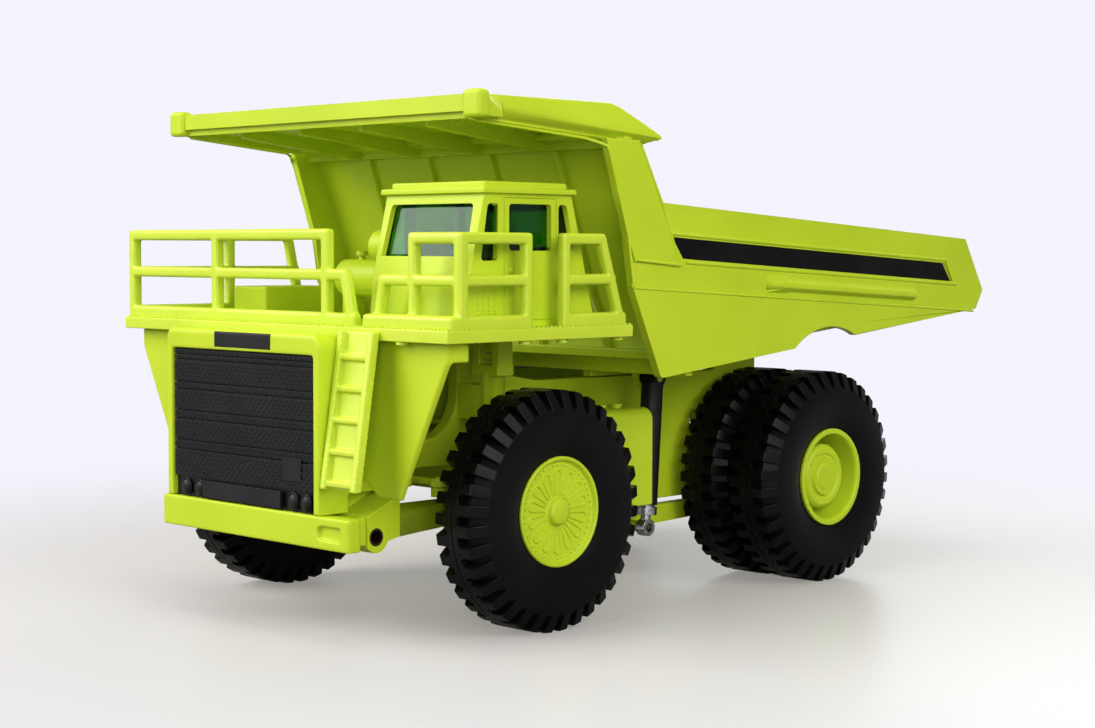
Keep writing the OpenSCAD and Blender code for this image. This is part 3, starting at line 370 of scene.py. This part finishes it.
def tyre(bm_all, middle):
    """Two offset rows of lugs on a turned wall, added to a mesh."""
    bm = lug_block()
    bmesh.ops.spin(bm, geom=whole(bm), cent=(0, 0, 0), axis=(0, 1, 0), dvec=(0, 0, 0),
                   angle=2 * math.pi * (LUGS - 1) / LUGS, steps=LUGS - 1, use_duplicate=True)
    bmesh.ops.remove_doubles(bm, verts=bm.verts, dist=0.01)
    row = bmesh.ops.duplicate(bm, geom=whole(bm))["geom"]
    verts = only(row, bmesh.types.BMVert)
    bmesh.ops.scale(bm, vec=(1, -1, 1), verts=verts)
    bmesh.ops.rotate(bm, cent=(0, 0, 0), matrix=Matrix.Rotation(math.pi / LUGS, 3, "Y"), verts=verts)
    bmesh.ops.reverse_faces(bm, faces=only(row, bmesh.types.BMFace))
    wall = WALL + [(BASE_R, -BASE_Y)] + [(r, -y) for r, y in WALL[-2::-1]]
    profile = [bm.verts.new((0, y, r)) for r, y in wall]
    edges = [bm.edges.new(pair) for pair in zip(profile, profile[1:])]
    bmesh.ops.spin(bm, geom=profile + edges, cent=(0, 0, 0), axis=(0, 1, 0), dvec=(0, 0, 0), angle=2 * math.pi,
                   steps=120, use_merge=True)
    skin = [f for f in bm.faces if len(f.verts) == 4 and all(v.co.xz.length < BASE_R + 0.1 for v in f.verts)]
    middles = [(f.normal, f.calc_center_median()) for f in skin]
    if sum(normal.dot(at) for normal, at in middles if at.xz.length > BASE_R - 0.3) < 0:
        bmesh.ops.reverse_faces(bm, faces=skin)
    bmesh.ops.translate(bm, vec=middle, verts=bm.verts)
    mesh = as_mesh("tyre_part", bm)
    bm_all.from_mesh(mesh)
    bpy.data.meshes.remove(mesh)


def make_tyres():
    for side in ("left", "right"):
        front, rear = "tyre_front_" + side, "tyres_rear_" + side
        low, high = extent(rear)
        for name, rows in ((front, [spot(front).y]), (rear, [low.y + TYRE_HALF, high.y - TYRE_HALF])):
            bm = bmesh.new()
            for y in rows:
                middle = spot(name)
                middle.y = y
                tyre(bm, middle)
            piece(name + "_rubber", bm, body_of[name], "tyre", [name], crease=35)


# grille and hood plate

GRILLE_FACE, GRILLE_FOOT = NOSE - 0.6, 28.7
SEAMS = (34.45, 36.3, 40.7, 42.4, 46.75, 48.2, 52.85, 53.9)
LAMP_Y, LAMP_Z = (-21.2, -16.6, 13.95, 17.95), 26.68
LAMP_RING = [(1.75, 0), (1.75, 0.22), (1.62, 0.3), (1.48, 0.14)]
LAMP_LENS = [(1.48, 0.1), (1.36, 0.38), (1.05, 0.6), (0.6, 0.74), (0.0, 0.79)]
PLATE_Y, PLATE_Z = (-10.4, 7.8), (55.8, 58.9)


def studs(bm, y, z, x, cell, height):
    """A field of small staggered studs on a panel that faces forward."""
    across, up = round((y[1] - y[0]) / cell), round((z[1] - z[0]) / cell)
    wide, tall = (y[1] - y[0]) / across, (z[1] - z[0]) / up
    raised = []
    for f in dict.fromkeys(f for v in forward_grid(bm, y, z, x, across, up) for f in v.link_faces):
        mid = f.calc_center_median()
        if (int((mid.y - y[0]) / wide) + int((mid.z - z[0]) / tall)) % 2:
            raised.append(f)
    bmesh.ops.inset_individual(bm, faces=raised, thickness=cell * 0.3, depth=height, use_even_offset=True)


def make_grille():
    """Studded panels in wide and narrow rows, the bar and block below them, and the lamps."""
    low, high = extent("radiator_grille")
    bm = bmesh.new()
    bar(bm, low, (GRILLE_FACE - 0.7, high.y, high.z), 0.1)
    right, left = low.y + 0.15, high.y - 0.15
    for k, (z0, z1) in enumerate(zip((GRILLE_FOOT, *SEAMS), (*SEAMS, high.z - 0.1))):
        bar(bm, (GRILLE_FACE - 0.9, right, z0 + 0.14), (GRILLE_FACE, left, z1 - 0.14), 0.08)
        cell = 0.78 if k % 2 == 0 else 0.7
        studs(bm, (right + 0.3, left - 0.3), (z0 + 0.3, z1 - 0.3), GRILLE_FACE + 0.01, cell, 0.3)
    bar(bm, (GRILLE_FACE - 0.4, -14.95, 25.0), (NOSE - 0.12, 10.62, 28.4), 0.14)
    bar(bm, (GRILLE_FACE - 0.2, 11.05, 30.65), (NOSE - 0.3, 16.8, 35.05), 0.1)
    for y in LAMP_Y:
        for profile in (LAMP_RING, LAMP_LENS):
            turned(bm, profile, (GRILLE_FACE - 0.25, y, LAMP_Z), (1, 0, 0))
    bmesh.ops.remove_doubles(bm, verts=bm.verts, dist=0.0005)
    bmesh.ops.recalc_face_normals(bm, faces=bm.faces)
    piece("radiator_grille_studded", bm, "chassis", "black_plastic", ["radiator_grille"], crease=30)


def make_hood_plate():
    """Black plate on the hood, bent over its front edge."""
    bm = bmesh.new()
    forward_grid(bm, PLATE_Y, PLATE_Z, 0, 8, 14)
    for v in bm.verts:
        v.co.x = seat("front_panel", (NOSE + 5, v.co.y, v.co.z), (-1, 0, 0)).x
    back = bmesh.ops.extrude_face_region(bm, geom=bm.faces[:])["geom"]
    bmesh.ops.translate(bm, vec=(-0.2, 0, 0), verts=only(back, bmesh.types.BMVert))
    bmesh.ops.recalc_face_normals(bm, faces=bm.faces)
    bevel(bm, sharp_edges(bm, 50), 0.05)
    piece("hood_plate", bm, "chassis", "black_plastic")


# deck, cab and hubs

FRONT_TEETH, SIDE_TEETH, TOOTH_HALF, TOOTH_TOP = 98, 42, 0.3, 0.32
VENT_COLUMNS, VENT_ROWS, VENT_X, VENT_Z = 4, 7, REAR + 110.6, 67.3


def make_deck_teeth():
    low, high = extent("deck")
    foot, top = high.z - 0.1, high.z + TOOTH_TOP
    bm = bmesh.new()
    for k in range(FRONT_TEETH):
        y = low.y + 0.9 + k * (high.y - low.y - 1.8) / (FRONT_TEETH - 1)
        bar(bm, (high.x - 0.85, y - TOOTH_HALF, foot), (high.x - 0.25, y + TOOTH_HALF, top), 0.12, 1)
    for k in range(SIDE_TEETH):
        x = low.x + 0.8 + k * (high.x - low.x - 2.4) / (SIDE_TEETH - 1)
        for y in (low.y + 0.04, high.y - 0.44):
            bar(bm, (x - TOOTH_HALF, y, foot), (x + TOOTH_HALF, y + 0.4, top), 0.12, 1)
    piece("deck_teeth", bm, "chassis", "green_plastic")


def make_cab():
    """Cab with round-cornered windows, and the small vents in its side."""
    bm = casting("cab_shell")
    low, high = extent("cab_shell")
    corners = []
    for e in bm.edges:
        way = (e.verts[0].co - e.verts[1].co).normalized()
        mid = (e.verts[0].co + e.verts[1].co) / 2
        across = abs(way.y) > 0.9 or (abs(way.x) > 0.85 and low.y + 2.5 < mid.y < high.y - 2.5)
        if len(e.link_faces) == 2 and not e.is_convex and across and 1.0 < e.calc_length() < 1.9:
            corners.append(e)
    bevel(bm, corners, 0.8, 5)
    roof = high.z - 2.25
    bevel(bm, [e for e in sharp_edges(bm, outer=True) if min(v.co.z for v in e.verts) > roof], 0.38, 3)
    walls = [e for e in sharp_edges(bm, outer=True) if max(v.co.z for v in e.verts) < roof + 0.1]
    bevel(bm, [e for e in walls if roomy(e, 0.16)], 0.16)
    piece("cab_shell_soft", bm, "chassis", "green_paint", ["cab_shell"])
    bm = bmesh.new()
    for column in range(VENT_COLUMNS):
        for row in range(VENT_ROWS):
            start = (VENT_X - column * 1.45, high.y + 5, VENT_Z - row * 0.65)
            bead(bm, seat("cab_shell", start, (0, -1, 0)), 0.3, (1, 0.8, 0.85))
    piece("cab_vents", bm, "chassis", "green_paint")


PETALS, PETAL_END, PETAL_R, LOOP_R, RIM_BEADS = 14, 7.3, 1.0, 0.3, 44
LOOP = [(LOOP_R * math.cos(a), LOOP_R * math.sin(a)) for a in (math.radians(60 * k) for k in range(6))]
DISH = [(0, 6.0), (2.0, 5.98), (2.4, 5.8), (2.62, 5.4), (2.8, 4.75), (3.05, 4.6), (9.7, 4.9), (9.95, 5.05),
        (10.1, 5.5), (10.3, 5.76), (10.6, 5.84), (10.85, 5.76), (11.0, 5.5), (11.0, -4.8), (2.1, -4.8),
        (2.1, 3.4), (0, 3.4)]
REAR_BEADS, REAR_BEAD_RING = 12, 6.0


def petal(bm, dish, turn):
    """One raised loop: out along a spoke, round its end and back."""
    line = [(3.5, -0.42), (5.4, -0.7), (PETAL_END, -PETAL_R)]
    bends = [math.pi * k / 6 for k in range(1, 6)]
    line += [(PETAL_END + PETAL_R * math.sin(a), -PETAL_R * math.cos(a)) for a in bends]
    line += [(r, -w) for r, w in line[2::-1]]
    stations = []
    for before, (r, w), after in zip(line[:1] + line, line, line[1:] + line[-1:]):
        way = (Vector(after) - Vector(before)).normalized()
        here = dish(r, w, 0, turn)
        across = dish(r - way.y, w + way.x, 0, turn) - here
        stations.append(station(here, across, dish(r, w, 1, turn) - here))
    drawn(bm, LOOP, stations)


def front_hub(side, out):
    """Turned dish with a rim, a cap, a ring of beads and a flower of raised loops."""
    name = "hub_front_" + side
    middle = spot("tyre_front_" + side)

    def dish(r, w, lift, turn):
        """A point of the dish at a radius and a width across it, lifted off and turned with its spoke."""
        height = out * (4.6 + (math.hypot(r, w) - 2.9) * 0.045 + lift)
        return middle + Matrix.Rotation(turn, 3, "Y") @ Vector((w, height, r))

    bm = bmesh.new()
    turned(bm, DISH, middle, (0, out, 0), 64)
    bmesh.ops.remove_doubles(bm, verts=bm.verts, dist=0.002)
    for k in range(PETALS):
        petal(bm, dish, 2 * math.pi * k / PETALS)
    bmesh.ops.recalc_face_normals(bm, faces=bm.faces)
    for k in range(RIM_BEADS):
        bead(bm, dish(9.3, 0, 0.02, 2 * math.pi * k / RIM_BEADS), 0.33, (1, 0.8, 1))
    for k in range(PETALS):
        bead(bm, dish(3.3, 0, 0.02, 2 * math.pi * (k + 0.5) / PETALS), 0.22)
    piece(name + "_flower", bm, body_of[name], "green_paint", [name], crease=50)


def make_hubs():
    for side, out in (("left", 1), ("right", -1)):
        front_hub(side, out)
        name = "hub_rear_" + side
        middle = spot("tyres_rear_" + side)
        bm = bmesh.new()
        for k in range(REAR_BEADS):
            turn = 2 * math.pi * k / REAR_BEADS
            start = middle + Vector((REAR_BEAD_RING * math.sin(turn), out * 40, REAR_BEAD_RING * math.cos(turn)))
            bead(bm, seat(name, start, (0, -out, 0)), 0.26, (1, 0.6, 1))
        piece(name + "_beads", bm, body_of[name], "green_paint")


# tipping body

ROUND_TOP = [(-0.42, -0.2), (-0.4, 0.08), (-0.2, 0.24), (0.0, 0.3), (0.2, 0.24), (0.4, 0.08), (0.42, -0.2)]
SLIM_TOP = [(across * 0.7, up * 0.7) for across, up in ROUND_TOP]
BAR_NOSE_X = POST - 45.2


def ledge(x):
    """Height of the ledge on the body's side."""
    return BED + 11.4 + (x - REAR) * 0.057


def make_body():
    """Body with a light-catching ledge along each side and hollows between the ribs under its canopy."""
    bm = casting("dump_body")
    for v in bm.verts:
        if v.co.x > CANOPY_X + 0.5:
            v.co.x = CANOPY_X - 0.1
        elif abs(v.co.x - CANOPY_X + 7) < 0.05 and abs(v.co.y) > 48.5:
            v.co.y = math.copysign(47.7, v.co.y)
            v.co.z = min(v.co.z, EAR_TOP - 4.2)
    bm.normal_update()
    under = [f for f in bm.faces if f.normal.z < -0.95 and f.calc_area() > 40]
    middles = [(f, f.calc_center_median()) for f in under]
    hollows = [f for f, at in middles if at.x > POST + 5 and at.z > EAR_TOP - 9]
    bmesh.ops.inset_individual(bm, faces=hollows, thickness=0.25, depth=-1.3, use_even_offset=True)
    ledges = []
    for e in sharp_edges(bm, outer=True):
        mid = (e.verts[0].co + e.verts[1].co) / 2
        ups = [f.normal.z > 0.9 for f in e.link_faces]
        outs = [abs(f.normal.y) > 0.9 for f in e.link_faces]
        if any(ups) and any(outs) and abs(abs(mid.y) - SIDE) < 0.05 and e.calc_length() > 20:
            ledges.append(e)
    bevel(bm, ledges, 0.42, 3)
    bevel(bm, [e for e in sharp_edges(bm, outer=True) if roomy(e, 0.3)], 0.3, 3)
    piece("dump_body_soft", bm, "body", "green_paint", ["dump_body"])


def welt(bm, path, section, side):
    """A raised line along a path of (x, z, skin) points on the body's side, mitred at its corners."""
    line = [Vector((x, z)) for x, z, skin in path]
    ways = [(b - a).normalized() for a, b in zip(line, line[1:])]
    stations = []
    for (x, z, skin), before, after in zip(path, ways[:1] + ways, ways + ways[-1:]):
        mitre = (before + after).normalized().orthogonal()
        mitre /= max(mitre.dot(before.orthogonal()), 0.3)
        stations.append(station(Vector((x, side * skin, z)), Vector((mitre.x, 0, mitre.y)), Vector((0, side, 0))))
    drawn(bm, section, stations)


def bar_nose(bm, side):
    """Faceted front end of the bar on the body's side: a foot drawn up to a short ridge."""
    z = ledge(BAR_NOSE_X)
    corners = [(0.4, 0.7), (0.4, 4.9), (-8, 4.5), (-8, 0.4)]
    foot = bm.faces.new([bm.verts.new((BAR_NOSE_X + u, side * (SKIN - 0.1), z + w)) for u, w in corners])
    ridge = only(bmesh.ops.extrude_face_region(bm, geom=[foot])["geom"], bmesh.types.BMVert)
    for v in ridge:
        v.co = (BAR_NOSE_X - 6.2, side * (SKIN + 1.48), z + (3.2 if v.co.z > z + 2.5 else 1.8))
    bmesh.ops.remove_doubles(bm, verts=ridge, dist=0.001)


def make_body_lines():
    """Raised lines of the casting: round the stripe, along the ledge, the post and the board, with nose and ears."""
    stripe_rim = [(POST - 13.6, BED + 26.2, SKIN), (TAIL + 16.9, BED + 20.6, SKIN), (TAIL + 12.7, BED + 14.8, SKIN),
                  (POST - 18.4, BED + 20.3, SKIN)]
    post_rim = [(POST - 3.9, EAR_TOP - 8.6, SIDE), (POST - 10.4, BED + 32.4, SIDE), (POST - 16.2, BED + 19.75, SIDE),
                (POST - 2.9, BED + 20.8, SIDE)]
    ledge_line = [(x, ledge(x) - 0.15, SIDE) for x in (POST - 1.9, TAIL + 5.2)]
    front_rim = [(POST - 2.0, BED + 16.2, SIDE - 0.1), (POST - 0.4, BED + 25.8, SIDE - 0.1),
                 (POST + 5.2, EAR_TOP - 10.4, SIDE - 0.1), (POST + 5.9, EAR_TOP - 9.3, SIDE - 0.15),
                 (POST + 7.4, EAR_TOP - 8.5, SIDE - 1.7), (POST + 9.4, EAR_TOP - 7.9, SIDE - 2.9),
                 (CANOPY_X - 2, EAR_TOP - 5.6, SIDE - 4.6)]
    bm = bmesh.new()
    for side in (1, -1):
        welt(bm, stripe_rim, ROUND_TOP, side)
        for path in (post_rim, ledge_line, front_rim):
            welt(bm, path, SLIM_TOP, side)
        bar_nose(bm, side)
        bead(bm, (POST - 9.5, side * 49.35, EAR_TOP - 7.15), 0.62)
        near, far = sorted((side * 44.5, side * 49.3))
        bar(bm, (CANOPY_X - 2.2, near, EAR_TOP - 5.35), (CANOPY_X + 0.9, far, EAR_TOP), 0.9, 4)
    bmesh.ops.recalc_face_normals(bm, faces=bm.faces)
    piece("body_lines", bm, "body", "green_paint", crease=50)


# the rest of the solids, with the width of their rounded edges

WIDTHS = {
    "deck": 0.22, "deck_box": 0.5, "air_tank": 0.22, "air_cleaner": 0.3, "fuel_tank": 0.3, "hydraulic_tank": 0.3,
    "strut_left": 0.2, "strut_right": 0.2, "knuckle_left": 0.2, "knuckle_right": 0.2, "tie_rod": 0.12,
    "hub_rear_left": 0.2, "hub_rear_right": 0.2, "stripe_left": 0.05, "stripe_right": 0.05,
    "hoist_tube_left": 0.18, "hoist_tube_right": 0.18, "hoist_stage_left": 0.12, "hoist_stage_right": 0.12,
    "hoist_rod_left": 0.12, "hoist_rod_right": 0.12, "cab_interior": 0.2, "rear_axle_pin": 0.15,
    "hinge_pin": 0.15, "cab_glazing": 0.06}


def make_softened():
    for name, width in WIDTHS.items():
        soften(name, width)
    soften("tow_tube", 0.12, finishes["rivet"])
    # the chassis frame takes the darker copy of the lime paint, which is painted shade
    soften("chassis_frame", 0.25, finishes["frame"])
    moulded("bumper", 0.2, 9, 0.0, 0.3)
    moulded("front_panel", 0.3, 6, -0.08, 0.25)
    for name in ("railing_right", "railing_left", "railing_door"):
        moulded(name, 0.25, 14, 0.3)
    moulded("ladder", 0.2, 4, 0.08)


# stage, light and camera: places in metres

BACKDROP = (0.91, 0.9, 0.985, 1)
PALE_SHEET, DIM_SHEET, SHEET_LIFT = (0.42, 0.41, 0.39), (0.13, 0.13, 0.12), (0.25, 0.24, 0.22, 1)
FADE_FROM, FADE_TO, FLOOR_R = 0.05, 0.3, 4.0
ROOM_TINT, ROOM_LIGHT = (0.93, 0.95, 1.0, 1), 0.03
LAMPS = (("key_box", (0.68, -0.42, 0.52), 0.85, 10.8, (1, 0.99, 0.96)),
         ("overhead_box", (0.15, 0.05, 0.9), 0.4, 2.6, (1, 0.99, 0.97)),
         ("side_box", (0.1, 0.85, 0.5), 0.75, 6.5, (0.98, 0.99, 1)),
         ("fill_box", (0.62, 0.62, 0.22), 0.5, 2.2, (1, 1, 1)),
         ("back_box", (-0.75, -0.25, 0.5), 0.7, 3.0, (1, 1, 1)))
LAMPS_AIM = Vector((0, 0, 0.04))
EYE, EYE_RIGHT, EYE_UP = (0.32958, 0.314115, 0.075398), (-0.7021, 0.71207, 0.00291), (-0.03915, -0.04268, 0.99832)


def seen_rays(tree):
    """1 for the rays that look at the backdrop, 0 for those that light the truck."""
    path = tree.nodes.new("ShaderNodeLightPath")
    last = path.outputs["Is Camera Ray"]
    for key, share in (("Is Glossy Ray", 0.3), ("Is Transmission Ray", 1.0)):
        either = tree.nodes.new("ShaderNodeMath")
        either.operation = "MULTIPLY_ADD"
        tree.links.new(path.outputs[key], either.inputs[0])
        either.inputs[1].default_value = share
        tree.links.new(last, either.inputs[2])
        last = either.outputs[0]
    return last


def make_stage():
    """Pale floor that keeps the shadow near the truck and runs out into the backdrop."""
    bm = bmesh.new()
    bmesh.ops.create_circle(bm, cap_ends=True, segments=96, radius=FLOOR_R)
    floor = put("floor", as_mesh("floor", bm))
    mat = finish("pale_sheet", PALE_SHEET, 0.36, Specular_IOR_Level=0.3)
    floor.data.materials.append(mat)
    shader = mat.node_tree.nodes["Principled BSDF"]
    looked_at = seen_rays(mat.node_tree)
    sheet = wire(mat, "ShaderNodeMix", {"Factor": looked_at, "A": (*DIM_SHEET, 1), "B": (*PALE_SHEET, 1)},
                 data_type="RGBA")
    plug(mat, sheet.outputs["Result"], "Base Color")
    lift = wire(mat, "ShaderNodeEmission", {"Color": SHEET_LIFT, "Strength": looked_at})
    pale = wire(mat, "ShaderNodeAddShader", {0: shader.outputs[0], 1: lift.outputs[0]})
    far = wire(mat, "ShaderNodeVectorMath", {0: place(mat)}, operation="LENGTH")
    fade = wire(mat, "ShaderNodeMapRange", {"Value": far.outputs["Value"], "From Min": FADE_FROM, "From Max": FADE_TO},
                interpolation_type="SMOOTHSTEP")
    seen = wire(mat, "ShaderNodeMath", {0: fade.outputs["Result"], 1: looked_at}, operation="MULTIPLY")
    glow = wire(mat, "ShaderNodeEmission", {"Color": BACKDROP, "Strength": 1.0})
    mix = wire(mat, "ShaderNodeMixShader", {0: seen.outputs[0], 1: pale.outputs[0], 2: glow.outputs[0]})
    mat.node_tree.links.new(mix.outputs[0], mat.node_tree.nodes["Material Output"].inputs["Surface"])


def make_light():
    """Soft boxes round the truck, and a dim room whose backdrop shows only to the rays that look at it."""
    world = bpy.data.worlds.new("studio")
    bpy.context.scene.world = world
    world.use_nodes = True
    tree = world.node_tree
    room = tree.nodes["Background"]
    room.inputs["Color"].default_value = ROOM_TINT
    room.inputs["Strength"].default_value = ROOM_LIGHT
    seen = tree.nodes.new("ShaderNodeBackground")
    seen.inputs["Color"].default_value = BACKDROP
    mix = tree.nodes.new("ShaderNodeMixShader")
    tree.links.new(seen_rays(tree), mix.inputs[0])
    tree.links.new(room.outputs[0], mix.inputs[1])
    tree.links.new(seen.outputs[0], mix.inputs[2])
    tree.links.new(mix.outputs[0], tree.nodes["World Output"].inputs["Surface"])
    for name, at, size, power, tint in LAMPS:
        lamp = bpy.data.lights.new(name, "AREA")
        lamp.shape = "DISK"
        lamp.size = size
        lamp.energy = power
        lamp.color = tint
        obj = put(name, lamp)
        obj.location = at
        obj.rotation_euler = (LAMPS_AIM - Vector(at)).to_track_quat("-Z", "Y").to_euler()


def make_camera():
    """The photograph's viewing angle."""
    lens = bpy.data.cameras.new("camera")
    lens.lens = 64.835
    lens.sensor_width = 36
    lens.shift_x = 0.0052
    lens.clip_start = 0.01
    camera = put("camera", lens)
    right, up = Vector(EYE_RIGHT), Vector(EYE_UP)
    turn = Matrix((right, up, right.cross(up))).transposed().to_4x4()
    camera.matrix_world = Matrix.Translation(EYE) @ turn
    bpy.context.scene.camera = camera


make_camera()
make_stage()
make_light()
make_tyres()
make_grille()
make_hood_plate()
make_deck_teeth()
make_cab()
make_hubs()
make_body()
make_body_lines()
make_softened()
bpy.context.scene.view_settings.view_transform = "Standard"
bpy.context.view_layer.update()
